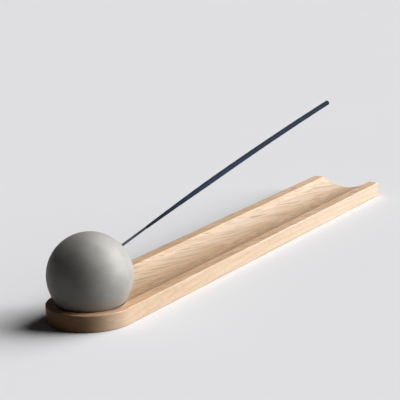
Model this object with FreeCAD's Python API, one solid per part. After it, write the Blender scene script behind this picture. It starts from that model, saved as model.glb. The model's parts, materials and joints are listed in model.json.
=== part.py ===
"""Incense burner: a wooden ash tray, a cast concrete ball that stands in it, and a stick held by the ball.

Millimetres. +Z is up, +X runs along the tray from its round end to its square end, and the origin is the
centre of the tray's underside.
"""
import FreeCAD
import Part
import math
import os

# Tray: one board, half round at one end and square at the other
TRAY_LENGTH = 276.0
TRAY_WIDTH = 42.0
TRAY_HEIGHT = 8.0
TRAY_ARRIS = 0.5  # rounding of the board's outer edges

# Ash trough: a shallow cove along the tray, open at the square end
TROUGH_DEPTH = 4.8
TROUGH_RIM = 6.0  # flat rim on each side, before its edge is rounded
TROUGH_ARRIS = 0.8  # rounding of the edges of the trough and of the seat

# Seat: a dish with a flat floor in the round end, in which the ball stands
SEAT_DEPTH = 5.0
SEAT_CLEARANCE = 0.5  # between the dish and the round of the ball

# Ball: a sphere with a flat cast foot
BALL_DIAMETER = 40.0
BALL_FOOT_DIAMETER = 19.0

# Stick hole: a blind hole in the ball, which slopes up towards the square end
HOLE_RISE = 10.0  # degrees above level
HOLE_OFFSET = 2.5  # how far the hole's axis passes above the ball's centre
HOLE_DEPTH = 14.0  # along the axis, from where it leaves the ball
HOLE_CLEARANCE = 0.3  # all round the stick's core
HOLE_ARRIS = 0.3  # rounding of the mouth

# Stick: a bamboo core, bare at its lower end, and the paste rolled on it
STICK_LENGTH = 230.0
STICK_BOW_RADIUS = 3900.0  # the slight arch of the stick outside the ball
CORE_DIAMETER = 1.2
CORE_BARE_LENGTH = 42.0  # from the core's lower end, the part in the hole included
PASTE_DIAMETER = 2.65
PASTE_TAPER_LENGTH = 55.0  # over which the paste grows to its full diameter
PASTE_EDGE = 0.08  # thickness of the paste where it starts
PASTE_CAP = 1.0  # paste over the core's upper end
PASTE_ARRIS = 0.5  # rounding of the tip

# Worked out from the sizes above
ROUND_END_RADIUS = TRAY_WIDTH / 2
SQUARE_END_X = TRAY_LENGTH / 2
BALL_X = -TRAY_LENGTH / 2 + ROUND_END_RADIUS
BALL_RADIUS = BALL_DIAMETER / 2
BALL_FOOT_DROP = math.sqrt(BALL_RADIUS**2 - (BALL_FOOT_DIAMETER / 2) ** 2)
SEAT_FLOOR_Z = TRAY_HEIGHT - SEAT_DEPTH
BALL_CENTRE = FreeCAD.Vector(BALL_X, 0, SEAT_FLOOR_Z + BALL_FOOT_DROP)
TROUGH_HALF_WIDTH = TRAY_WIDTH / 2 - TROUGH_RIM
TROUGH_RADIUS = (TROUGH_HALF_WIDTH**2 + TROUGH_DEPTH**2) / (2 * TROUGH_DEPTH)
CORE_RADIUS = CORE_DIAMETER / 2

UP = FreeCAD.Vector(0, 0, 1)
ACROSS = FreeCAD.Vector(0, 1, 0)
RISE = math.radians(HOLE_RISE)
HOLE_DIRECTION = FreeCAD.Vector(math.cos(RISE), 0, math.sin(RISE))
HOLE_UPWARD = FreeCAD.Vector(-math.sin(RISE), 0, math.cos(RISE))
HOLE_MOUTH = (
    BALL_CENTRE
    + HOLE_UPWARD * HOLE_OFFSET
    + HOLE_DIRECTION * math.sqrt(BALL_RADIUS**2 - HOLE_OFFSET**2)
)
HOLE_FLOOR = HOLE_MOUTH - HOLE_DIRECTION * HOLE_DEPTH
BOW_CENTRE = HOLE_MOUTH - HOLE_UPWARD * STICK_BOW_RADIUS


def face_of(*edges):
    """A flat face inside a closed run of edges."""
    return Part.Face(Part.Wire(edges))


def line(start, end):
    """A straight edge."""
    return Part.LineSegment(start, end).toShape()


def arc(start, middle, end):
    """A round edge through three points."""
    return Part.Arc(start, middle, end).toShape()


def eased_dish_edge(radius, centre_z):
    """Three points of the rounded edge where a round hollow meets the tray's top.

    The hollow has the given radius about a centre at the given height. The points are where the rounding
    meets the hollow, half-way round it and where it meets the top, each as (distance out, height).
    """
    edge_z = TRAY_HEIGHT - TROUGH_ARRIS
    edge_out = math.sqrt((radius + TROUGH_ARRIS) ** 2 - (centre_z - edge_z) ** 2)
    towards_centre = math.atan2(centre_z - edge_z, -edge_out)
    half_way = (towards_centre + math.pi / 2) / 2

    def on_edge(angle):
        return (edge_out + TROUGH_ARRIS * math.cos(angle), edge_z + TROUGH_ARRIS * math.sin(angle))

    return on_edge(towards_centre), on_edge(half_way), on_edge(math.pi / 2)


def tray_blank():
    """The board before anything is cut into it, with sharp edges."""
    half = TRAY_WIDTH / 2
    square_near = FreeCAD.Vector(SQUARE_END_X, -half, 0)
    square_far = FreeCAD.Vector(SQUARE_END_X, half, 0)
    round_far = FreeCAD.Vector(BALL_X, half, 0)
    round_end = FreeCAD.Vector(BALL_X - ROUND_END_RADIUS, 0, 0)
    round_near = FreeCAD.Vector(BALL_X, -half, 0)
    outline = face_of(
        line(square_near, square_far),
        line(square_far, round_far),
        arc(round_far, round_end, round_near),
        line(round_near, square_near),
    )
    return outline.extrude(UP * TRAY_HEIGHT)


def trough_cutter():
    """The wood taken out for the trough, from the middle of the seat to past the square end."""
    centre_z = TRAY_HEIGHT - TROUGH_DEPTH + TROUGH_RADIUS
    past_the_end = TRAY_WIDTH

    def point(out, z):
        return FreeCAD.Vector(BALL_X, out, z)

    low, mid, top = eased_dish_edge(TROUGH_RADIUS, centre_z)
    bottom = (0, centre_z - TROUGH_RADIUS)
    above = TRAY_HEIGHT + TROUGH_DEPTH
    profile = face_of(
        arc(point(-low[0], low[1]), point(*bottom), point(*low)),
        arc(point(*low), point(*mid), point(*top)),
        line(point(*top), point(top[0], above)),
        line(point(top[0], above), point(-top[0], above)),
        line(point(-top[0], above), point(-top[0], top[1])),
        arc(point(-top[0], top[1]), point(-mid[0], mid[1]), point(-low[0], low[1])),
    )
    return profile.extrude(FreeCAD.Vector(SQUARE_END_X - BALL_X + past_the_end, 0, 0))


def seat_cutter():
    """The wood taken out for the ball's seat: a dish round the ball, down to a flat floor."""
    radius = BALL_RADIUS + SEAT_CLEARANCE
    centre_z = BALL_CENTRE.z
    floor_out = math.sqrt(radius**2 - BALL_FOOT_DROP**2)

    def point(out, z):
        return FreeCAD.Vector(BALL_X - out, 0, z)

    low, mid, top = eased_dish_edge(radius, centre_z)
    half_way = (math.atan2(floor_out, BALL_FOOT_DROP) + math.atan2(low[0], centre_z - low[1])) / 2
    dish_middle = (radius * math.sin(half_way), centre_z - radius * math.cos(half_way))
    above = TRAY_HEIGHT + SEAT_DEPTH
    profile = face_of(
        line(point(0, SEAT_FLOOR_Z), point(floor_out, SEAT_FLOOR_Z)),
        arc(point(floor_out, SEAT_FLOOR_Z), point(*dish_middle), point(*low)),
        arc(point(*low), point(*mid), point(*top)),
        line(point(*top), point(top[0], above)),
        line(point(top[0], above), point(0, above)),
        line(point(0, above), point(0, SEAT_FLOOR_Z)),
    )
    return profile.revolve(FreeCAD.Vector(BALL_X, 0, 0), UP, 360)


def outer_edges(board):
    """The edges of the board that a maker breaks: round its top, its underside and its square end."""
    chosen = []
    for edge in board.Edges:
        box = edge.BoundBox
        on_square_end = box.XMin > SQUARE_END_X - TRAY_ARRIS
        on_underside = box.ZMax < TRAY_ARRIS
        on_top = box.ZMin > TRAY_HEIGHT - TRAY_ARRIS
        along_side = abs(box.Center.y) > TRAY_WIDTH / 2 - TRAY_ARRIS
        round_the_end = box.XMin < BALL_X - ROUND_END_RADIUS + TRAY_ARRIS
        if on_square_end or on_underside or (on_top and (along_side or round_the_end)):
            chosen.append(edge)
    return chosen


def make_tray():
    """The board with its trough and seat, and its outer edges rounded."""
    board = tray_blank().cut([trough_cutter(), seat_cutter()])
    return board.makeFillet(TRAY_ARRIS, outer_edges(board))


def make_ball():
    """The sphere with its flat foot and its stick hole."""
    foot_out = BALL_FOOT_DIAMETER / 2

    def point(out, z):
        return FreeCAD.Vector(BALL_X - out, 0, BALL_CENTRE.z + z)

    profile = face_of(
        line(point(0, -BALL_FOOT_DROP), point(foot_out, -BALL_FOOT_DROP)),
        arc(point(foot_out, -BALL_FOOT_DROP), point(BALL_RADIUS, 0), point(0, BALL_RADIUS)),
        line(point(0, BALL_RADIUS), point(0, -BALL_FOOT_DROP)),
    )
    sphere = profile.revolve(FreeCAD.Vector(BALL_X, 0, 0), UP, 360)
    hole_radius = CORE_RADIUS + HOLE_CLEARANCE
    hole = Part.makeCylinder(hole_radius, HOLE_DEPTH + BALL_RADIUS, HOLE_FLOOR, HOLE_DIRECTION)
    drilled = sphere.cut(hole)
    mouth = [edge for edge in drilled.Edges if edge.CenterOfMass.distanceToPoint(HOLE_MOUTH) < hole_radius]
    return drilled.makeFillet(HOLE_ARRIS, mouth)


def bow_angle(length):
    """The turn of the stick's arch, in degrees, at a distance along the stick from its lower end."""
    return math.degrees((length - HOLE_DEPTH) / STICK_BOW_RADIUS)


def stick_point(length):
    """A point on the middle line of the arched stick, at a distance along it from its lower end."""
    turn = math.radians(bow_angle(length))
    return BOW_CENTRE + (HOLE_UPWARD * math.cos(turn) + HOLE_DIRECTION * math.sin(turn)) * STICK_BOW_RADIUS


def stick_section(length, radius):
    """A circle across the arched stick, at a distance along it from its lower end."""
    circle = Part.Wire(Part.Circle(HOLE_MOUTH, HOLE_DIRECTION, radius).toShape())
    circle.rotate(BOW_CENTRE, ACROSS, bow_angle(length))
    return circle


def arched_rod(start, end, radius):
    """A round rod of one thickness along the arch, between two distances along the stick."""
    turn = bow_angle(end) - bow_angle(start)
    return Part.Face(stick_section(start, radius)).revolve(BOW_CENTRE, ACROSS, turn)


def arched_taper(start, end, start_radius, end_radius):
    """A round rod that thickens along the arch, between two distances along the stick."""
    middle = (start + end) / 2
    path = Part.Wire(arc(stick_point(start), stick_point(middle), stick_point(end)))
    sections = [stick_section(start, start_radius), stick_section(end, end_radius)]
    return path.makePipeShell(sections, True, False)


def make_stick_core():
    """The bamboo splint: straight in the hole and arched outside it."""
    straight = Part.makeCylinder(CORE_RADIUS, HOLE_DEPTH, HOLE_FLOOR, HOLE_DIRECTION)
    arched = arched_rod(HOLE_DEPTH, STICK_LENGTH - PASTE_CAP, CORE_RADIUS)
    return straight.fuse(arched)


def make_stick_paste(core):
    """The paste round the core: a long taper, then one thickness up to a rounded tip."""
    full_radius = PASTE_DIAMETER / 2
    taper_end = CORE_BARE_LENGTH + PASTE_TAPER_LENGTH
    taper = arched_taper(CORE_BARE_LENGTH, taper_end, CORE_RADIUS + PASTE_EDGE, full_radius)
    rod = arched_rod(taper_end, STICK_LENGTH, full_radius)
    tip = stick_point(STICK_LENGTH)
    tip_edges = [edge for edge in rod.Edges if edge.CenterOfMass.distanceToPoint(tip) < full_radius]
    rounded_rod = rod.makeFillet(PASTE_ARRIS, tip_edges)
    return taper.fuse(rounded_rod).cut(core)


def main():
    """Writes one file for each piece."""
    os.makedirs("parts", exist_ok=True)
    core = make_stick_core()
    pieces = {
        "tray": make_tray(),
        "ball": make_ball(),
        "stick_core": core,
        "stick_paste": make_stick_paste(core),
    }
    for name, shape in pieces.items():
        shape.exportStep(f"parts/{name}.step")
        print(f"{name}: {len(shape.Solids)} solid, {shape.Volume:.1f} mm3, valid {shape.isValid()}")


if __name__ == "__main__":
    main()
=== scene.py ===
"""Incense burner: an oak tray with an ash trough, a cast cement ball and an incense stick.

Every length is in metres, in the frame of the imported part: +X runs along the tray from the ball
to the open end of the trough, and +Z is up from the surface that the tray stands on.
"""

import json
import logging
import math
from collections.abc import Mapping
from dataclasses import dataclass
from enum import Enum
from random import Random
from typing import Any

import bmesh
import bpy
from mathutils import Matrix, Vector, noise
from mathutils.kdtree import KDTree


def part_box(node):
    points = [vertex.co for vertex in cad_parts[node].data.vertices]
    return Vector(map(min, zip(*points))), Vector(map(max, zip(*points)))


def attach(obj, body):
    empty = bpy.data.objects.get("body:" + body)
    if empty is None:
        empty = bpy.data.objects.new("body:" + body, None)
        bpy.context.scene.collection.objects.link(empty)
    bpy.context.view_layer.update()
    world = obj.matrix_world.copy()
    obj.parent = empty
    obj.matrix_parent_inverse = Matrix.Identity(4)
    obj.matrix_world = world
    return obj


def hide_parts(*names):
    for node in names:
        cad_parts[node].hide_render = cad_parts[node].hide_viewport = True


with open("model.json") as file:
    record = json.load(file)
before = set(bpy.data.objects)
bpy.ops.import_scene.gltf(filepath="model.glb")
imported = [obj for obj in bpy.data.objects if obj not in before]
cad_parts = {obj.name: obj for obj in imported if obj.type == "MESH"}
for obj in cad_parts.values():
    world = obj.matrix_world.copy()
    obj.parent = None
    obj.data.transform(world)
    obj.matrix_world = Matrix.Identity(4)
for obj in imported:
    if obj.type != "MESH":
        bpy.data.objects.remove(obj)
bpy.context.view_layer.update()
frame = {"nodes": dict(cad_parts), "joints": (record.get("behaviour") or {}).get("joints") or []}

MM = 0.001
MERGE_DISTANCE = 0.001 * MM
SHARP_ANGLE = math.radians(38.0)
LOG = logging.getLogger("incense_burner")

Colour = tuple[float, float, float, float]
Tree = bpy.types.NodeTree
Socket = bpy.types.NodeSocket


class Body(Enum):
    """The parts that move as one."""

    TRAY = "tray"
    BALL = "ball"
    STICK = "stick"


class Node(Enum):
    """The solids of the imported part."""

    TRAY = "tray"
    BALL = "ball"
    STICK_CORE = "stick_core"
    STICK_PASTE = "stick_paste"


class Slot(Enum):
    """The record's material slots that the new pieces take their finish from."""

    CONCRETE = "concrete"
    BAMBOO = "bamboo"
    INCENSE = "incense"


def linear(hex_code: str) -> Colour:
    """Turns an sRGB hex colour into Blender's linear colour.

    Args:
        hex_code: Six hex digits after a hash sign.

    Returns:
        The linear red, green and blue, with an alpha of 1.
    """
    shares = [int(hex_code[place : place + 2], 16) / 255.0 for place in (1, 3, 5)]
    red, green, blue = (
        share / 12.92 if share <= 0.04045 else ((share + 0.055) / 1.055) ** 2.4 for share in shares
    )
    return red, green, blue, 1.0


def add_node(
    tree: Tree,
    kind: str,
    inputs: Mapping[str | int, Any] | None = None,
    **settings: Any,
) -> bpy.types.Node:
    """Adds one node to a tree, with its settings, values and links.

    Args:
        tree: The node tree that gets the node.
        kind: The node's type, without the ShaderNode that all of them start with.
        inputs: A value, or the socket to link from, for each named or numbered input.
        **settings: The node's own properties.

    Returns:
        The new node.
    """
    node = tree.nodes.new(f"ShaderNode{kind}")
    for name, value in settings.items():
        setattr(node, name, value)
    for socket, value in (inputs or {}).items():
        if isinstance(value, Socket):
            tree.links.new(value, node.inputs[socket])
        else:
            node.inputs[socket].default_value = value
    return node


def new_material(name: str) -> tuple[bpy.types.Material, Tree]:
    """Starts a material with an empty node tree.

    Args:
        name: The material's name.

    Returns:
        The material and its node tree.
    """
    material = bpy.data.materials.new(name)
    material.use_nodes = True
    material.node_tree.nodes.clear()
    return material, material.node_tree


def seen_share(tree: Tree) -> Socket:
    """Tells the rays that show a surface from those that only carry its light elsewhere.

    Args:
        tree: The node tree of a material or of the world.

    Returns:
        1 for a ray from the camera, a mirror or through glass, and 0 for any other.
    """
    path = add_node(tree, "LightPath").outputs
    mirrored = add_node(
        tree,
        "Math",
        {0: path["Is Glossy Ray"], 1: path["Is Transmission Ray"]},
        operation="MAXIMUM",
    ).outputs["Value"]
    return add_node(
        tree, "Math", {0: path["Is Camera Ray"], 1: mirrored}, operation="MAXIMUM"
    ).outputs["Value"]


def new_object(name: str, shape: bmesh.types.BMesh) -> bpy.types.Object:
    """Turns a finished bmesh into an object at the origin, smooth but for its sharp edges.

    Args:
        name: The object's name.
        shape: The bmesh, which is freed.

    Returns:
        The object, linked to the scene.
    """
    mesh = bpy.data.meshes.new(name)
    shape.to_mesh(mesh)
    shape.free()
    mesh.shade_smooth()
    mesh.set_sharp_from_angle(angle=SHARP_ANGLE)
    made = bpy.data.objects.new(name, mesh)
    bpy.context.scene.collection.objects.link(made)
    return made


def dress(piece: bpy.types.Object, material: bpy.types.Material) -> None:
    """Gives a piece one material in place of those it has."""
    piece.data.materials.clear()
    piece.data.materials.append(material)


def report(piece: bpy.types.Object, body: Body) -> None:
    """Logs a piece, the body it rides on and its number of faces."""
    LOG.info("%s on %s: %d faces", piece.name, body.value, len(piece.data.polygons))


@dataclass(frozen=True)
class OiledOak:
    """Pale oak, sawn a little across the grain, routed, sanded and oiled.

    The eye sees fine dark pores that run as long streaks along the trough, at a slant to the
    tray's own line, and are partly filled on the upright faces. Growth rings and flat clouds
    change the tone slowly, and rays make short marks. The end grain drinks more oil and goes
    darker. Painted shade makes the board darker and warmer towards the ball, and painted light
    makes the faces turned to the window paler and cooler than the faces in shade.
    """

    name: str = "oiled_pale_oak"
    early_wood: str = "#E5CDB8"
    late_wood: str = "#D6BA9E"
    pore: str = "#A98560"
    ray: str = "#C7A37C"
    # Painted shade: the board goes darker and warmer from the open end towards the ball.
    near_ball_shade_tint: str = "#ECE4DC"
    far_tint: str = "#FFFFFF"
    # Painted light and shade: faces turned to the window get the paler, cooler tint, the others the
    # warmer one.
    lit_face_tint: str = "#F9FEFF"
    shaded_face_tint: str = "#FFF8EE"
    ball_shade_span: tuple[float, float] = (-97.0 * MM, 125.0 * MM)
    lit_face_span: tuple[float, float] = (-0.3, -0.05)
    end_grain: str = "#B47C4A"
    grain_yaw: float = math.radians(13.0)
    grain_pitch: float = math.radians(-3.7)
    heart_offset: tuple[float, float, float] = (0.0, -8.0 * MM, 62.0 * MM)
    ring_width: float = 2.8 * MM
    ring_wander: float = 2.4 * MM
    wander_size: tuple[float, float, float] = (90.0 * MM, 28.0 * MM, 28.0 * MM)
    wander_detail: float = 2.0
    ring_share: float = 0.45
    cloud_size: tuple[float, float, float] = (60.0 * MM, 9.0 * MM, 2.2 * MM)
    cloud_detail: float = 3.0
    late_span: tuple[float, float] = (0.35, 1.05)
    # An oak pore is about 0.25 mm wide, drawn wider here so that it shows in the render.
    pore_size: tuple[float, float, float] = (26.0 * MM, 0.85 * MM, 0.5 * MM)
    pore_detail: float = 1.0
    pore_edge: tuple[float, float] = (0.48, 0.7)
    pore_depth: float = 0.05 * MM
    pore_relief: float = 0.3
    side_pores: float = 0.22
    crowded_span: tuple[float, float] = (0.25, 0.6)
    crowding: tuple[float, float] = (0.75, 0.45)
    ray_size: tuple[float, float, float] = (2.6 * MM, 5.0 * MM, 0.8 * MM)
    ray_detail: float = 0.0
    ray_edge: tuple[float, float] = (0.6, 0.74)
    ray_share: float = 0.2
    end_edge: tuple[float, float] = (0.2, 0.9)
    end_share: float = 0.65
    roughness: tuple[float, float] = (0.54, 0.72)
    shine: float = 0.25
    ior: float = 1.5

    def build(self) -> bpy.types.Material:
        """Makes the material.

        Returns:
            The material, in grain coordinates that are the same all through the tray.
        """
        material, tree = new_material(self.name)
        place = add_node(tree, "TexCoord")
        grain = add_node(
            tree,
            "Mapping",
            {
                "Vector": place.outputs["Object"],
                "Location": self.heart_offset,
                "Rotation": (0.0, self.grain_pitch, self.grain_yaw),
            },
        ).outputs["Vector"]
        radius, ring = self._rings(tree, grain)
        pores = self._pores(tree, place, grain, ring)
        rays = self._rays(tree, grain, radius)
        cloud = self._blobs(tree, grain, self.cloud_size, self.cloud_detail)
        tone = add_node(
            tree, "Math", {0: ring, 1: self.ring_share, 2: cloud}, operation="MULTIPLY_ADD"
        ).outputs["Value"]
        late = add_node(
            tree,
            "MapRange",
            {"Value": tone, "From Min": self.late_span[0], "From Max": self.late_span[1]},
        ).outputs["Result"]
        wood: Any = linear(self.early_wood)
        for share, on_top in (
            (late, self.late_wood),
            (rays, self.ray),
            (pores, self.pore),
            (self._end_cut(tree, place), self.end_grain),
        ):
            wood = add_node(
                tree, "Mix", {0: share, 6: wood, 7: linear(on_top)}, data_type="RGBA"
            ).outputs[2]
        rough = add_node(
            tree,
            "MapRange",
            {"Value": pores, "To Min": self.roughness[0], "To Max": self.roughness[1]},
        ).outputs["Result"]
        hollow = add_node(
            tree,
            "Bump",
            {"Strength": self.pore_relief, "Distance": self.pore_depth, "Height": pores},
            invert=True,
        ).outputs["Normal"]
        shader = add_node(
            tree,
            "BsdfPrincipled",
            {
                "Base Color": self._painted_light_and_shade(tree, place, wood),
                "Roughness": rough,
                "Specular IOR Level": self.shine,
                "IOR": self.ior,
                "Normal": hollow,
            },
        )
        add_node(tree, "OutputMaterial", {"Surface": shader.outputs["BSDF"]})
        return material

    def _blobs(
        self, tree: Tree, grain: Socket, size: tuple[float, float, float], detail: float
    ) -> Socket:
        """Adds noise whose blobs have a given size along and across the grain.

        Args:
            tree: The material's tree.
            grain: The grain coordinates.
            size: The blobs' length, width and thickness.
            detail: How many finer layers the noise has.

        Returns:
            The noise, from 0 to 1.
        """
        stretched = add_node(
            tree, "VectorMath", {0: grain, 1: size}, operation="DIVIDE"
        ).outputs["Vector"]
        return add_node(
            tree, "TexNoise", {"Vector": stretched, "Scale": 1.0, "Detail": detail}
        ).outputs["Fac"]

    def _rings(self, tree: Tree, grain: Socket) -> tuple[Socket, Socket]:
        """Draws the growth rings, which wander a little from true circles.

        Args:
            tree: The material's tree.
            grain: The grain coordinates.

        Returns:
            The distance from the heart of the tree, and the place in the ring, from 0 to 1.
        """
        across = add_node(
            tree, "VectorMath", {0: grain, 1: (0.0, 1.0, 1.0)}, operation="MULTIPLY"
        ).outputs["Vector"]
        radius = add_node(tree, "VectorMath", {0: across}, operation="LENGTH").outputs["Value"]
        wander = self._blobs(tree, grain, self.wander_size, self.wander_detail)
        wandered = add_node(
            tree, "Math", {0: wander, 1: self.ring_wander, 2: radius}, operation="MULTIPLY_ADD"
        ).outputs["Value"]
        rings = add_node(
            tree, "Math", {0: wandered, 1: self.ring_width}, operation="DIVIDE"
        ).outputs["Value"]
        return radius, add_node(tree, "Math", {0: rings}, operation="FRACT").outputs["Value"]

    def _pores(self, tree: Tree, place: bpy.types.Node, grain: Socket, ring: Socket) -> Socket:
        """Draws the pores, which crowd together at the start of each growth ring.

        On the upright faces, which were planed and not routed, they are partly filled.

        Args:
            tree: The material's tree.
            place: The texture coordinates.
            grain: The grain coordinates.
            ring: The place in the growth ring, from 0 to 1.

        Returns:
            How much of a pore shows, from 0 to 1.
        """
        tubes = self._blobs(tree, grain, self.pore_size, self.pore_detail)
        open_pore = add_node(
            tree,
            "MapRange",
            {"Value": tubes, "From Min": self.pore_edge[0], "From Max": self.pore_edge[1]},
            interpolation_type="SMOOTHSTEP",
        ).outputs["Result"]
        crowding = add_node(
            tree,
            "MapRange",
            {
                "Value": ring,
                "From Min": self.crowded_span[0],
                "From Max": self.crowded_span[1],
                "To Min": self.crowding[0],
                "To Max": self.crowding[1],
            },
        ).outputs["Result"]
        upward = add_node(tree, "SeparateXYZ", {"Vector": place.outputs["Normal"]}).outputs["Z"]
        unfilled = add_node(
            tree, "MapRange", {"Value": upward, "To Min": self.side_pores}
        ).outputs["Result"]
        depth = open_pore
        for share in (crowding, unfilled):
            depth = add_node(
                tree, "Math", {0: depth, 1: share}, operation="MULTIPLY"
            ).outputs["Value"]
        return depth

    def _rays(self, tree: Tree, grain: Socket, radius: Socket) -> Socket:
        """Draws the rays, thin sheets that stand along the radius of the growth rings.

        Args:
            tree: The material's tree.
            grain: The grain coordinates.
            radius: The distance from the heart of the tree.

        Returns:
            How much of a ray shows, from 0 to 1.
        """
        parts = add_node(tree, "SeparateXYZ", {"Vector": grain})
        angle = add_node(
            tree,
            "Math",
            {0: parts.outputs["Y"], 1: parts.outputs["Z"]},
            operation="ARCTAN2",
        ).outputs["Value"]
        arc = add_node(
            tree, "Math", {0: angle, 1: self.heart_offset[2]}, operation="MULTIPLY"
        ).outputs["Value"]
        sheet = add_node(
            tree, "CombineXYZ", {"X": parts.outputs["X"], "Y": radius, "Z": arc}
        ).outputs["Vector"]
        sheets = self._blobs(tree, sheet, self.ray_size, self.ray_detail)
        return add_node(
            tree,
            "MapRange",
            {
                "Value": sheets,
                "From Min": self.ray_edge[0],
                "From Max": self.ray_edge[1],
                "To Max": self.ray_share,
            },
            interpolation_type="SMOOTHSTEP",
        ).outputs["Result"]

    def _painted_light_and_shade(self, tree: Tree, place: bpy.types.Node, wood: Socket) -> Socket:
        """Paints shade that darkens the board towards the ball, and paints light on the faces turned to
        the window.

        Args:
            tree: The material's tree.
            place: The texture coordinates.
            wood: The wood's colour at the open end.

        Returns:
            The colour with the painted shade and the painted light.
        """
        along = add_node(tree, "SeparateXYZ", {"Vector": place.outputs["Object"]}).outputs["X"]
        turned = add_node(tree, "SeparateXYZ", {"Vector": place.outputs["Normal"]}).outputs["Y"]
        # Painted shade towards the ball, then painted light on the faces turned to the window.
        for measure, span, tints in (
            (along, self.ball_shade_span, (self.near_ball_shade_tint, self.far_tint)),
            (turned, self.lit_face_span, (self.lit_face_tint, self.shaded_face_tint)),
        ):
            share = add_node(
                tree, "MapRange", {"Value": measure, "From Min": span[0], "From Max": span[1]}
            ).outputs["Result"]
            tint = add_node(
                tree,
                "Mix",
                {0: share, 6: linear(tints[0]), 7: linear(tints[1])},
                data_type="RGBA",
            ).outputs[2]
            wood = add_node(
                tree, "Mix", {0: 1.0, 6: wood, 7: tint}, data_type="RGBA", blend_type="MULTIPLY"
            ).outputs[2]
        return wood

    def _end_cut(self, tree: Tree, place: bpy.types.Node) -> Socket:
        """Finds how squarely a face cuts the grain.

        Args:
            tree: The material's tree.
            place: The texture coordinates.

        Returns:
            The share of end grain, from 0 on a long face to its most on an end.
        """
        along = Matrix.Rotation(-self.grain_yaw, 3, "Z") @ Vector((1.0, 0.0, 0.0))
        facing = add_node(
            tree,
            "VectorMath",
            {0: place.outputs["Normal"], 1: along},
            operation="DOT_PRODUCT",
        ).outputs["Value"]
        cut = add_node(tree, "Math", {0: facing}, operation="ABSOLUTE").outputs["Value"]
        return add_node(
            tree,
            "MapRange",
            {
                "Value": cut,
                "From Min": self.end_edge[0],
                "From Max": self.end_edge[1],
                "To Max": self.end_share,
            },
            interpolation_type="SMOOTHSTEP",
        ).outputs["Result"]


@dataclass(frozen=True)
class CastCement:
    """Fine grey cement, cast in a smooth mould, rubbed down and sealed.

    The eye sees an even, slightly warm grey with faint clouds from the mix, a few sand grains
    that show as specks, and a broad satin shine from the sealer.
    """

    name: str = "cast_sealed_cement"
    light: str = "#A2A09C"
    dark: str = "#94918C"
    speck: str = "#77736C"
    cloud_size: float = 9.0 * MM
    grain_size: float = 0.6 * MM
    speck_spacing: float = 1.7 * MM
    grain_depth: float = 0.012 * MM
    grain_relief: float = 0.5
    grain_detail: float = 2.0
    cloud_detail: float = 5.0
    cloud_roughness: float = 0.6
    cloud_span: tuple[float, float] = (0.3, 0.7)
    speck_edge: tuple[float, float] = (0.08, 0.2)
    speck_rarity: float = 0.7
    speck_share: float = 0.7
    roughness: tuple[float, float] = (0.46, 0.6)
    ior: float = 1.5

    def build(self) -> bpy.types.Material:
        """Makes the material.

        Returns:
            The material, in the part's own coordinates.
        """
        material, tree = new_material(self.name)
        place = add_node(tree, "TexCoord").outputs["Object"]
        clouds = add_node(
            tree,
            "TexNoise",
            {
                "Vector": place,
                "Scale": 1.0 / self.cloud_size,
                "Detail": self.cloud_detail,
                "Roughness": self.cloud_roughness,
            },
        ).outputs["Fac"]
        grains = add_node(
            tree,
            "TexNoise",
            {"Vector": place, "Scale": 1.0 / self.grain_size, "Detail": self.grain_detail},
        ).outputs["Fac"]
        sand = add_node(
            tree, "TexVoronoi", {"Vector": place, "Scale": 1.0 / self.speck_spacing}
        )
        near = add_node(
            tree,
            "MapRange",
            {
                "Value": sand.outputs["Distance"],
                "From Min": self.speck_edge[1],
                "From Max": self.speck_edge[0],
            },
        ).outputs["Result"]
        kind = add_node(tree, "SeparateColor", {"Color": sand.outputs["Color"]})
        rare = add_node(
            tree,
            "MapRange",
            {
                "Value": kind.outputs["Red"],
                "From Min": self.speck_rarity,
                "To Max": self.speck_share,
            },
        ).outputs["Result"]
        specks = add_node(tree, "Math", {0: near, 1: rare}, operation="MULTIPLY").outputs["Value"]
        shade = add_node(
            tree,
            "MapRange",
            {"Value": clouds, "From Min": self.cloud_span[0], "From Max": self.cloud_span[1]},
        ).outputs["Result"]
        grey = add_node(
            tree,
            "Mix",
            {0: shade, 6: linear(self.light), 7: linear(self.dark)},
            data_type="RGBA",
        ).outputs[2]
        grey = add_node(
            tree, "Mix", {0: specks, 6: grey, 7: linear(self.speck)}, data_type="RGBA"
        ).outputs[2]
        rough = add_node(
            tree,
            "MapRange",
            {"Value": clouds, "To Min": self.roughness[0], "To Max": self.roughness[1]},
        ).outputs["Result"]
        grit = add_node(
            tree,
            "Bump",
            {"Strength": self.grain_relief, "Distance": self.grain_depth, "Height": grains},
        ).outputs["Normal"]
        shader = add_node(
            tree,
            "BsdfPrincipled",
            {"Base Color": grey, "Roughness": rough, "IOR": self.ior, "Normal": grit},
        )
        add_node(tree, "OutputMaterial", {"Surface": shader.outputs["BSDF"]})
        return material


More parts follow.
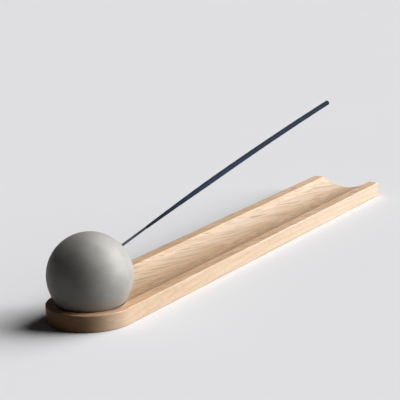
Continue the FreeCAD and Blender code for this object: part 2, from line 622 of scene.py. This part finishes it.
@dataclass(frozen=True)
class DyedBamboo:
    """A split bamboo splint, dipped in dark dye.

    The eye sees a thin slate-blue rod with paler and darker fibres along its length, stained
    almost black where the wet paste has run down it.
    """

    name: str = "dyed_bamboo"
    light: str = "#2A3E52"
    dark: str = "#152331"
    stained: str = "#0C1320"
    fibre_length: float = 14.0 * MM
    fibre_width: float = 0.22 * MM
    fibre_detail: float = 3.0
    fibre_depth: float = 0.02 * MM
    fibre_relief: float = 0.5
    fibre_span: tuple[float, float] = (0.3, 0.7)
    roughness: float = 0.55
    shine: float = 0.15
    ior: float = 1.5

    def build(self, lean: float, stain: tuple[float, float]) -> bpy.types.Material:
        """Makes the material.

        Args:
            lean: How far the stick rises above the tray's line, in radians.
            stain: Where along X the paste's stain begins to show and where it covers the splint.

        Returns:
            The material, with its fibres along the stick.
        """
        material, tree = new_material(self.name)
        place = add_node(tree, "TexCoord").outputs["Object"]
        along = add_node(
            tree, "Mapping", {"Vector": place, "Rotation": (0.0, lean, 0.0)}
        ).outputs["Vector"]
        stretched = add_node(
            tree,
            "VectorMath",
            {0: along, 1: (self.fibre_length, self.fibre_width, self.fibre_width)},
            operation="DIVIDE",
        ).outputs["Vector"]
        fibres = add_node(
            tree, "TexNoise", {"Vector": stretched, "Scale": 1.0, "Detail": self.fibre_detail}
        ).outputs["Fac"]
        share = add_node(
            tree,
            "MapRange",
            {"Value": fibres, "From Min": self.fibre_span[0], "From Max": self.fibre_span[1]},
        ).outputs["Result"]
        colour = add_node(
            tree,
            "Mix",
            {0: share, 6: linear(self.dark), 7: linear(self.light)},
            data_type="RGBA",
        ).outputs[2]
        covered = add_node(
            tree,
            "MapRange",
            {
                "Value": add_node(tree, "SeparateXYZ", {"Vector": place}).outputs["X"],
                "From Min": stain[0],
                "From Max": stain[1],
            },
        ).outputs["Result"]
        colour = add_node(
            tree, "Mix", {0: covered, 6: colour, 7: linear(self.stained)}, data_type="RGBA"
        ).outputs[2]
        ridges = add_node(
            tree,
            "Bump",
            {"Strength": self.fibre_relief, "Distance": self.fibre_depth, "Height": fibres},
        ).outputs["Normal"]
        shader = add_node(
            tree,
            "BsdfPrincipled",
            {
                "Base Color": colour,
                "Roughness": self.roughness,
                "Specular IOR Level": self.shine,
                "IOR": self.ior,
                "Normal": ridges,
            },
        )
        add_node(tree, "OutputMaterial", {"Surface": shader.outputs["BSDF"]})
        return material


@dataclass(frozen=True)
class IncensePaste:
    """Powdered wood and charcoal, rolled on wet and dried.

    The eye sees a dull navy crust, grainy and a little uneven in tone, with no shine. Where it
    starts it is thin and dense, and looks almost black.
    """

    name: str = "rolled_incense_paste"
    light: str = "#263144"
    dark: str = "#1B2533"
    thin: str = "#0F141E"
    cloud_size: float = 5.0 * MM
    cloud_detail: float = 2.0
    powder_size: float = 0.35 * MM
    powder_detail: float = 3.0
    powder_depth: float = 0.05 * MM
    powder_relief: float = 0.7
    tone_span: tuple[float, float] = (0.7, 1.3)
    roughness: float = 0.85
    shine: float = 0.12
    ior: float = 1.45

    def build(self, taper: tuple[float, float]) -> bpy.types.Material:
        """Makes the material.

        Args:
            taper: Where along X the crust starts and where it is first at its full thickness.

        Returns:
            The material, in the part's own coordinates.
        """
        material, tree = new_material(self.name)
        place = add_node(tree, "TexCoord").outputs["Object"]
        parts = add_node(tree, "SeparateXYZ", {"Vector": place})
        thick = add_node(
            tree,
            "MapRange",
            {"Value": parts.outputs["X"], "From Min": taper[0], "From Max": taper[1]},
        ).outputs["Result"]
        powder = add_node(
            tree,
            "TexNoise",
            {"Vector": place, "Scale": 1.0 / self.powder_size, "Detail": self.powder_detail},
        ).outputs["Fac"]
        clouds = add_node(
            tree,
            "TexNoise",
            {"Vector": place, "Scale": 1.0 / self.cloud_size, "Detail": self.cloud_detail},
        ).outputs["Fac"]
        both = add_node(tree, "Math", {0: powder, 1: clouds}, operation="ADD").outputs["Value"]
        share = add_node(
            tree,
            "MapRange",
            {"Value": both, "From Min": self.tone_span[0], "From Max": self.tone_span[1]},
        ).outputs["Result"]
        colour = add_node(
            tree,
            "Mix",
            {0: share, 6: linear(self.dark), 7: linear(self.light)},
            data_type="RGBA",
        ).outputs[2]
        colour = add_node(
            tree, "Mix", {0: thick, 6: linear(self.thin), 7: colour}, data_type="RGBA"
        ).outputs[2]
        crust = add_node(
            tree,
            "Bump",
            {"Strength": self.powder_relief, "Distance": self.powder_depth, "Height": powder},
        ).outputs["Normal"]
        shader = add_node(
            tree,
            "BsdfPrincipled",
            {
                "Base Color": colour,
                "Roughness": self.roughness,
                "Specular IOR Level": self.shine,
                "IOR": self.ior,
                "Normal": crust,
            },
        )
        add_node(tree, "OutputMaterial", {"Surface": shader.outputs["BSDF"]})
        return material


@dataclass(frozen=True)
class StudioPaper:
    """A matt roll of pale grey background paper.

    The eye sees an even field with no grain of its own, so that only the shadow marks it. The
    paper throws back less light than it shows, as it would in a room hung with dark cloth.
    """

    name: str = "matt_background_paper"
    light: str = "#E4E4E6"
    dark: str = "#E1E1E3"
    thrown_back: str = "#747474"
    cloud_size: float = 160.0 * MM
    roughness: float = 0.9
    shine: float = 0.2

    def build(self) -> bpy.types.Material:
        """Makes the material.

        Returns:
            The material, in the floor's own coordinates.
        """
        material, tree = new_material(self.name)
        clouds = add_node(
            tree,
            "TexNoise",
            {
                "Vector": add_node(tree, "TexCoord").outputs["Object"],
                "Scale": 1.0 / self.cloud_size,
            },
        ).outputs["Fac"]
        grey = add_node(
            tree,
            "Mix",
            {0: clouds, 6: linear(self.light), 7: linear(self.dark)},
            data_type="RGBA",
        ).outputs[2]
        shown = add_node(
            tree,
            "Mix",
            {0: seen_share(tree), 6: linear(self.thrown_back), 7: grey},
            data_type="RGBA",
        ).outputs[2]
        shader = add_node(
            tree,
            "BsdfPrincipled",
            {
                "Base Color": shown,
                "Roughness": self.roughness,
                "Specular IOR Level": self.shine,
            },
        )
        add_node(tree, "OutputMaterial", {"Surface": shader.outputs["BSDF"]})
        return material


@dataclass
class Tray:
    """The routed oak tray, whose solid is shown as it is."""

    finish: OiledOak = OiledOak()

    def build(self) -> None:
        """Dresses the tray's solid in oak."""
        piece = frame["nodes"][Node.TRAY.value]
        dress(piece, self.finish.build())
        report(piece, Body.TRAY)


@dataclass
class HolderBall:
    """The cement ball, cast solid with a flat foot, and drilled for the stick."""

    centre: Vector
    radius: float
    foot_drop: float
    hole_direction: Vector
    finish: CastCement = CastCement()
    hole_radius: float = 0.9 * MM
    hole_chamfer: float = 0.3 * MM
    hole_depth: float = 14.0 * MM
    hole_offset: float = 2.5 * MM
    foot_easing: float = 0.4 * MM
    foot_easing_steps: int = 3
    arc_steps: int = 112
    turn_steps: int = 168
    pinhole_count: int = 46
    pinhole_radius: tuple[float, float] = (0.12 * MM, 0.32 * MM)
    pinhole_depth_share: float = 0.7
    pinhole_margin: float = 3.0 * MM
    pinhole_fine_reach: float = 1.0 * MM
    pinhole_cuts: int = 4
    pinhole_seed: int = 7
    unevenness: float = 0.03 * MM
    unevenness_size: float = 9.0 * MM

    @classmethod
    def from_frame(cls) -> "HolderBall":
        """Reads the ball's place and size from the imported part.

        Returns:
            The ball as it stands at rest.
        """
        low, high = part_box(Node.BALL.value)
        radius = (high.x - low.x) / 2.0
        centre = Vector(((high.x + low.x) / 2.0, 0.0, high.z - radius))
        pull = next(joint for joint in frame["joints"] if joint["child"] == Body.STICK.value)
        return cls(centre, radius, centre.z - low.z, Vector(pull["axis"]).normalized())

    @property
    def hole_upward(self) -> Vector:
        """The direction square to the hole that points up."""
        return Vector((-self.hole_direction.z, 0.0, self.hole_direction.x))

    @property
    def mouth(self) -> Vector:
        """The point where the hole's centre line comes out of the ball."""
        reach = math.sqrt(self.radius**2 - self.hole_offset**2)
        return self.centre + self.hole_upward * self.hole_offset + self.hole_direction * reach

    def build(self) -> None:
        """Models the ball, dresses it and lets it ride."""
        shape = self._turned_shape()
        self._cast_marks(shape)
        self._flat_foot(shape)
        bmesh.ops.translate(shape, verts=shape.verts[:], vec=self.centre)
        piece = new_object("cast_ball", shape)
        dress(piece, self.finish.build())
        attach(piece, Body.BALL.value)
        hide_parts(Node.BALL.value)
        report(piece, Body.BALL)

    def _turned_shape(self) -> bmesh.types.BMesh:
        """Turns the sphere and its drilled hole about the line through the hole's mouth.

        Returns:
            The shape, with the ball's centre at the origin.
        """
        shape = bmesh.new()
        rim = self.hole_radius + self.hole_chamfer
        rim_height = math.sqrt(self.radius**2 - rim**2)
        wall_height = rim_height - self.hole_chamfer
        floor_height = rim_height - self.hole_depth
        end = shape.verts.new((rim, 0.0, rim_height))
        bmesh.ops.spin(
            shape,
            geom=[end],
            cent=(0.0, 0.0, 0.0),
            axis=(0.0, 1.0, 0.0),
            angle=math.pi - math.asin(rim / self.radius),
            steps=self.arc_steps,
        )
        for out, height in (
            (self.hole_radius, wall_height),
            (self.hole_radius, floor_height),
            (0.0, floor_height),
        ):
            end = bmesh.ops.extrude_vert_indiv(shape, verts=[end])["verts"][0]
            end.co = (out, 0.0, height)
        bmesh.ops.spin(
            shape,
            geom=shape.verts[:] + shape.edges[:],
            cent=(0.0, 0.0, 0.0),
            axis=(0.0, 0.0, 1.0),
            angle=math.tau,
            steps=self.turn_steps,
            use_merge=True,
        )
        bmesh.ops.remove_doubles(shape, verts=shape.verts[:], dist=MERGE_DISTANCE)
        bmesh.ops.recalc_face_normals(shape, faces=shape.faces[:])
        outward = self.mouth - self.centre
        turn = math.atan2(outward.x, outward.z)
        hole_turn = math.atan2(self.hole_direction.x, self.hole_direction.z) - turn
        bmesh.ops.rotate(
            shape,
            verts=shape.verts[:],
            cent=(0.0, 0.0, 0.0),
            matrix=Matrix.Rotation(turn, 3, "Y"),
        )
        bmesh.ops.rotate(
            shape,
            verts=[vert for vert in shape.verts if not self._on_skin(vert)],
            cent=outward,
            matrix=Matrix.Rotation(hole_turn, 3, "Y"),
        )
        return shape

    def _on_skin(self, vert: bmesh.types.BMVert) -> bool:
        """Tells whether a point is on the ball's outside, and not in the hole."""
        return vert.co.length > self.radius - self.hole_chamfer / 2.0

    def _cast_marks(self, shape: bmesh.types.BMesh) -> None:
        """Gives the skin its slight unevenness and the pinholes of trapped air.

        Args:
            shape: The ball, with its centre at the origin.
        """
        pinholes = self._pinholes()
        fine = set()
        for spot, size in pinholes:
            reach = self.pinhole_fine_reach + size
            fine.update(
                edge
                for edge in shape.edges
                if all(self._on_skin(vert) for vert in edge.verts)
                and min((vert.co - spot).length for vert in edge.verts) < reach
            )
        bmesh.ops.subdivide_edges(
            shape, edges=list(fine), cuts=self.pinhole_cuts, use_grid_fill=True
        )
        skin = [vert for vert in shape.verts if self._on_skin(vert)]
        for vert in skin:
            outward = vert.co.normalized()
            swell = noise.noise(outward * self.radius / self.unevenness_size) * self.unevenness
            vert.co = outward * (self.radius + min(swell, 0.0))
        tree = KDTree(len(skin))
        for index, vert in enumerate(skin):
            tree.insert(vert.co, index)
        tree.balance()
        for spot, size in pinholes:
            for place, index, distance in tree.find_range(spot, size):
                bowl = 1.0 - (distance / size) ** 2
                skin[index].co = place - spot.normalized() * size * bowl * self.pinhole_depth_share

    def _pinholes(self) -> list[tuple[Vector, float]]:
        """Scatters pinholes over the skin, clear of the foot and of the hole's mouth.

        Returns:
            Each pinhole's place on the skin and its radius.
        """
        chance = Random(self.pinhole_seed)
        mouth = self.mouth - self.centre
        found = []
        while len(found) < self.pinhole_count:
            spot = Vector([chance.gauss(0.0, 1.0) for _ in range(3)]).normalized() * self.radius
            size = self.pinhole_radius[0] + chance.random() ** 2 * (
                self.pinhole_radius[1] - self.pinhole_radius[0]
            )
            above_foot = spot.z > self.pinhole_margin - self.foot_drop
            off_mouth = (spot - mouth).length > self.pinhole_margin
            apart = all((spot - other).length > self.pinhole_margin for other, _ in found)
            if above_foot and off_mouth and apart:
                found.append((spot, size))
        return found

    def _flat_foot(self, shape: bmesh.types.BMesh) -> None:
        """Cuts the foot flat and eases its edge.

        Args:
            shape: The ball, with its centre at the origin.
        """
        cut = bmesh.ops.bisect_plane(
            shape,
            geom=shape.verts[:] + shape.edges[:] + shape.faces[:],
            dist=MERGE_DISTANCE,
            plane_co=(0.0, 0.0, -self.foot_drop),
            plane_no=(0.0, 0.0, 1.0),
            clear_inner=True,
        )
        rim = [part for part in cut["geom_cut"] if isinstance(part, bmesh.types.BMEdge)]
        bmesh.ops.contextual_create(shape, geom=rim)
        bmesh.ops.bevel(
            shape,
            geom=rim,
            offset=self.foot_easing,
            affect="EDGES",
            segments=self.foot_easing_steps,
            profile=0.5,
            material=-1,
        )
        bmesh.ops.recalc_face_normals(shape, faces=shape.faces[:])


@dataclass
class IncenseStick:
    """The stick: a split bamboo splint with incense paste rolled round all but its foot."""

    holder: HolderBall
    splint_finish: DyedBamboo = DyedBamboo()
    paste_finish: IncensePaste = IncensePaste()
    length: float = 230.0 * MM
    bow_radius: float = 3900.0 * MM
    splint_radius: float = 0.6 * MM
    splint_sides: int = 12
    splint_step: float = 1.5 * MM
    facet_length: float = 115.0 * MM
    facet_width: float = 0.5 * MM
    facet_share: float = 0.07
    bare_length: float = 42.0 * MM
    stain_span: tuple[float, float] = (26.0 * MM, 31.0 * MM)
    feather_radius: float = 0.68 * MM
    paste_radius: float = 1.325 * MM
    taper_length: float = 55.0 * MM
    paste_cap: float = 1.0 * MM
    paste_sides: int = 28
    paste_step: float = 0.8 * MM
    lump_share: float = 0.035
    lump_size: float = 5.0 * MM
    tip_easing: float = 0.5 * MM
    tip_easing_steps: int = 4

    @property
    def bow_centre(self) -> Vector:
        """The centre of the arch that the stick bends into once it leaves the hole."""
        return self.holder.mouth - self.holder.hole_upward * self.bow_radius

    def build(self) -> None:
        """Models the splint and the paste, dresses them and lets them ride."""
        lean = math.asin(self.holder.hole_direction.z)
        splint = new_object("splint", self._splint_shape())
        dress(splint, self.splint_finish.build(lean, self._along_x(*self.stain_span)))
        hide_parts(Node.STICK_CORE.value)
        paste = new_object("incense_paste", self._paste_shape())
        taper = self._along_x(self.bare_length, self.bare_length + self.taper_length)
        dress(paste, self.paste_finish.build(taper))
        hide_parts(Node.STICK_PASTE.value)
        for piece in (splint, paste):
            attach(piece, Body.STICK.value)
            report(piece, Body.STICK)

    def _along(self, place: Vector) -> float:
        """Finds how far along the stick a point is, from the end in the hole."""
        arm = place - self.bow_centre
        turn = math.atan2(arm.dot(self.holder.hole_direction), arm.dot(self.holder.hole_upward))
        return self.holder.hole_depth + turn * self.bow_radius

    def _axis_point(self, along: float) -> Vector:
        """Finds the point on the stick's centre line at a given length."""
        turn = (along - self.holder.hole_depth) / self.bow_radius
        arm = self.holder.hole_upward * math.cos(turn) + self.holder.hole_direction * math.sin(turn)
        return self.bow_centre + arm * self.bow_radius

    def _along_x(self, start: float, end: float) -> tuple[float, float]:
        """Turns two lengths along the stick into places along X."""
        return self._axis_point(start).x, self._axis_point(end).x

    def _sweep(
        self, shape: bmesh.types.BMesh, radius: float, sides: int, span: tuple[float, float], step: float
    ) -> tuple[list[bmesh.types.BMEdge], list[bmesh.types.BMEdge]]:
        """Sweeps a ring along the stick's arch.

        Args:
            shape: The bmesh that gets the swept wall.
            radius: The ring's radius.
            sides: The ring's number of sides.
            span: Where along the stick the wall starts and ends.
            step: The length of one step.

        Returns:
            The edges of the first ring and of the last.
        """
        start, end = span
        turn = (start - self.holder.hole_depth) / self.bow_radius
        lean = math.atan2(self.holder.hole_direction.x, self.holder.hole_direction.z)
        placement = Matrix.Translation(self._axis_point(start)) @ Matrix.Rotation(lean + turn, 4, "Y")
        ring = bmesh.ops.create_circle(
            shape, cap_ends=False, radius=radius, segments=sides, matrix=placement
        )["verts"]
        first = list({edge for vert in ring for edge in vert.link_edges})
        swept = bmesh.ops.spin(
            shape,
            geom=ring + first,
            cent=self.bow_centre,
            axis=(0.0, 1.0, 0.0),
            angle=(end - start) / self.bow_radius,
            steps=max(1, round((end - start) / step)),
        )["geom_last"]
        last = [part for part in swept if isinstance(part, bmesh.types.BMEdge)]
        return first, last

    def _splint_shape(self) -> bmesh.types.BMesh:
        """Models the splint, split and scraped roughly round.

        Returns:
            The splint's shape.
        """
        shape = bmesh.new()
        span = (self.holder.hole_depth, self.length - self.paste_cap)
        first, last = self._sweep(
            shape, self.splint_radius, self.splint_sides, span, self.splint_step
        )
        for vert in shape.verts:
            along = self._along(vert.co)
            middle = self._axis_point(along)
            out = vert.co - middle
            facet = noise.noise(
                Vector((along / self.facet_length, out.y / self.facet_width, out.z / self.facet_width))
            )
            vert.co = middle + out * (1.0 - self.facet_share * abs(facet))
        foot = bmesh.ops.extrude_edge_only(shape, edges=first)["geom"]
        foot_edges = [part for part in foot if isinstance(part, bmesh.types.BMEdge)]
        bmesh.ops.translate(
            shape,
            verts=[part for part in foot if isinstance(part, bmesh.types.BMVert)],
            vec=-self.holder.hole_direction * self.holder.hole_depth,
        )
        first_foot = [edge for edge in foot_edges if len(edge.link_faces) == 1]
        bmesh.ops.edgeloop_fill(shape, edges=first_foot)
        bmesh.ops.edgeloop_fill(shape, edges=last)
        bmesh.ops.recalc_face_normals(shape, faces=shape.faces[:])
        return shape

    def _paste_shape(self) -> bmesh.types.BMesh:
        """Models the paste as a crust round the splint, from its feathered edge to the tip.

        Returns:
            The paste's shape.
        """
        shape = bmesh.new()
        outer_span = (self.bare_length, self.length)
        inner_span = (self.bare_length, self.length - self.paste_cap)
        outer_first, outer_last = self._sweep(
            shape, self.paste_radius, self.paste_sides, outer_span, self.paste_step
        )
        for vert in shape.verts:
            along = self._along(vert.co)
            middle = self._axis_point(along)
            out = (vert.co - middle).normalized()
            vert.co = middle + out * self._paste_radius_at(along, vert.co)
        inner_first, inner_last = self._sweep(
            shape, self.splint_radius, self.paste_sides, inner_span, self.paste_step
        )
        bmesh.ops.bridge_loops(shape, edges=outer_first + inner_first)
        bmesh.ops.edgeloop_fill(shape, edges=inner_last)
        bmesh.ops.edgeloop_fill(shape, edges=outer_last)
        bmesh.ops.bevel(
            shape,
            geom=outer_last,
            offset=self.tip_easing,
            affect="EDGES",
            segments=self.tip_easing_steps,
            profile=0.5,
            material=-1,
        )
        bmesh.ops.recalc_face_normals(shape, faces=shape.faces[:])
        return shape

    def _paste_radius_at(self, along: float, place: Vector) -> float:
        """Works out the crust's radius, tapered at its start and lumpy all along.

        Args:
            along: The length along the stick.
            place: The point on the crust.

        Returns:
            The distance from the stick's centre line.
        """
        share = min(1.0, (along - self.bare_length) / self.taper_length)
        plain = self.feather_radius + (self.paste_radius - self.feather_radius) * share
        lump = noise.noise(place / self.lump_size) * self.lump_share
        return plain + (plain - self.splint_radius) * lump


@dataclass(frozen=True)
class PhotoCamera:
    """The photograph's camera: a long lens a little above the tray, tipped slightly."""

    azimuth: float = math.radians(-57.133)
    elevation: float = math.radians(14.595)
    roll: float = math.radians(-2.034)
    # Blender takes the lens and the sensor in millimetres.
    lens: float = 137.51
    sensor: float = 36.0
    distance: float = 700.92 * MM
    target: tuple[float, float, float] = (-78.06 * MM, -35.98 * MM, 50.61 * MM)

    def build(self) -> None:
        """Adds the camera and makes it the scene's."""
        back = Vector(
            (
                math.sin(self.azimuth) * math.cos(self.elevation),
                -math.cos(self.azimuth) * math.cos(self.elevation),
                math.sin(self.elevation),
            )
        )
        level = Vector((math.cos(self.azimuth), math.sin(self.azimuth), 0.0))
        upright = back.cross(level)
        right = level * math.cos(self.roll) + upright * math.sin(self.roll)
        axes = Matrix((right, back.cross(right), back)).transposed()
        data = bpy.data.cameras.new("photo_camera")
        data.lens = self.lens
        data.sensor_width = self.sensor
        camera = bpy.data.objects.new("photo_camera", data)
        bpy.context.scene.collection.objects.link(camera)
        place = Vector(self.target) + back * self.distance
        camera.matrix_world = Matrix.Translation(place) @ axes.to_4x4()
        bpy.context.scene.camera = camera


@dataclass(frozen=True)
class SoftLight:
    """A wide, distant light, such as a window, that throws a soft-edged shadow."""

    name: str
    azimuth: float
    elevation: float
    width: float
    strength: float

    def build(self) -> None:
        """Hangs the light so that it shines on the tray from its own direction."""
        data = bpy.data.lights.new(self.name, "SUN")
        data.energy = self.strength
        data.angle = self.width
        lamp = bpy.data.objects.new(self.name, data)
        bpy.context.scene.collection.objects.link(lamp)
        towards = Vector(
            (
                math.cos(self.azimuth) * math.cos(self.elevation),
                math.sin(self.azimuth) * math.cos(self.elevation),
                math.sin(self.elevation),
            )
        )
        lamp.rotation_mode = "QUATERNION"
        lamp.rotation_quaternion = towards.to_track_quat("Z", "Y")


@dataclass
class Studio:
    """A pale paper floor, two wide soft lights from the right, and little fill."""

    paper: StudioPaper = StudioPaper()
    window: SoftLight = SoftLight(
        name="low_window",
        azimuth=math.radians(-56.0),
        elevation=math.radians(8.0),
        width=math.radians(36.0),
        strength=4.15,
    )
    sky: SoftLight = SoftLight(
        name="window_sky",
        azimuth=math.radians(-35.0),
        elevation=math.radians(41.0),
        width=math.radians(56.0),
        strength=3.6,
    )
    floor_radius: float = 12.0
    floor_sides: int = 96
    fill_colour: str = "#FFFFFF"
    fill_strength: float = 0.015
    backdrop_azimuth: float = math.radians(33.0)
    backdrop_strength: float = 0.14
    backdrop_edge: tuple[float, float] = (0.8, 0.98)

    def build(self) -> None:
        """Builds the floor, the lights and the fill, and sets the plain view transform."""
        self._floor()
        self.window.build()
        self.sky.build()
        self._fill()
        bpy.context.scene.view_settings.view_transform = "Standard"

    def _floor(self) -> None:
        """Lays the paper under the tray."""
        shape = bmesh.new()
        bmesh.ops.create_circle(
            shape, cap_ends=True, radius=self.floor_radius, segments=self.floor_sides
        )
        floor = new_object("paper_floor", shape)
        dress(floor, self.paper.build())

    def _fill(self) -> None:
        """Sets the room's own dim light, and the pale backdrop that shiny faces mirror."""
        world = bpy.data.worlds.new("studio_room")
        world.use_nodes = True
        world.node_tree.nodes.clear()
        tree = world.node_tree
        facing = add_node(
            tree,
            "VectorMath",
            {
                0: add_node(tree, "TexCoord").outputs["Generated"],
                1: (math.cos(self.backdrop_azimuth), math.sin(self.backdrop_azimuth), 0.0),
            },
            operation="DOT_PRODUCT",
        ).outputs["Value"]
        backdrop = add_node(
            tree,
            "MapRange",
            {
                "Value": facing,
                "From Min": self.backdrop_edge[0],
                "From Max": self.backdrop_edge[1],
                "To Min": self.fill_strength,
                "To Max": self.backdrop_strength,
            },
            interpolation_type="SMOOTHSTEP",
        ).outputs["Result"]
        strength = add_node(
            tree, "Mix", {0: seen_share(tree), 2: self.fill_strength, 3: backdrop}
        ).outputs[0]
        room = add_node(
            tree, "Background", {"Color": linear(self.fill_colour), "Strength": strength}
        )
        add_node(tree, "OutputWorld", {"Surface": room.outputs["Background"]})
        bpy.context.scene.world = world


def main() -> None:
    """Builds the burner and the studio round it."""
    logging.basicConfig(level=logging.INFO, format="%(name)s: %(message)s")
    Tray().build()
    ball = HolderBall.from_frame()
    ball.build()
    IncenseStick(ball).build()
    Studio().build()
    PhotoCamera().build()


if __name__ == "__main__":
    main()
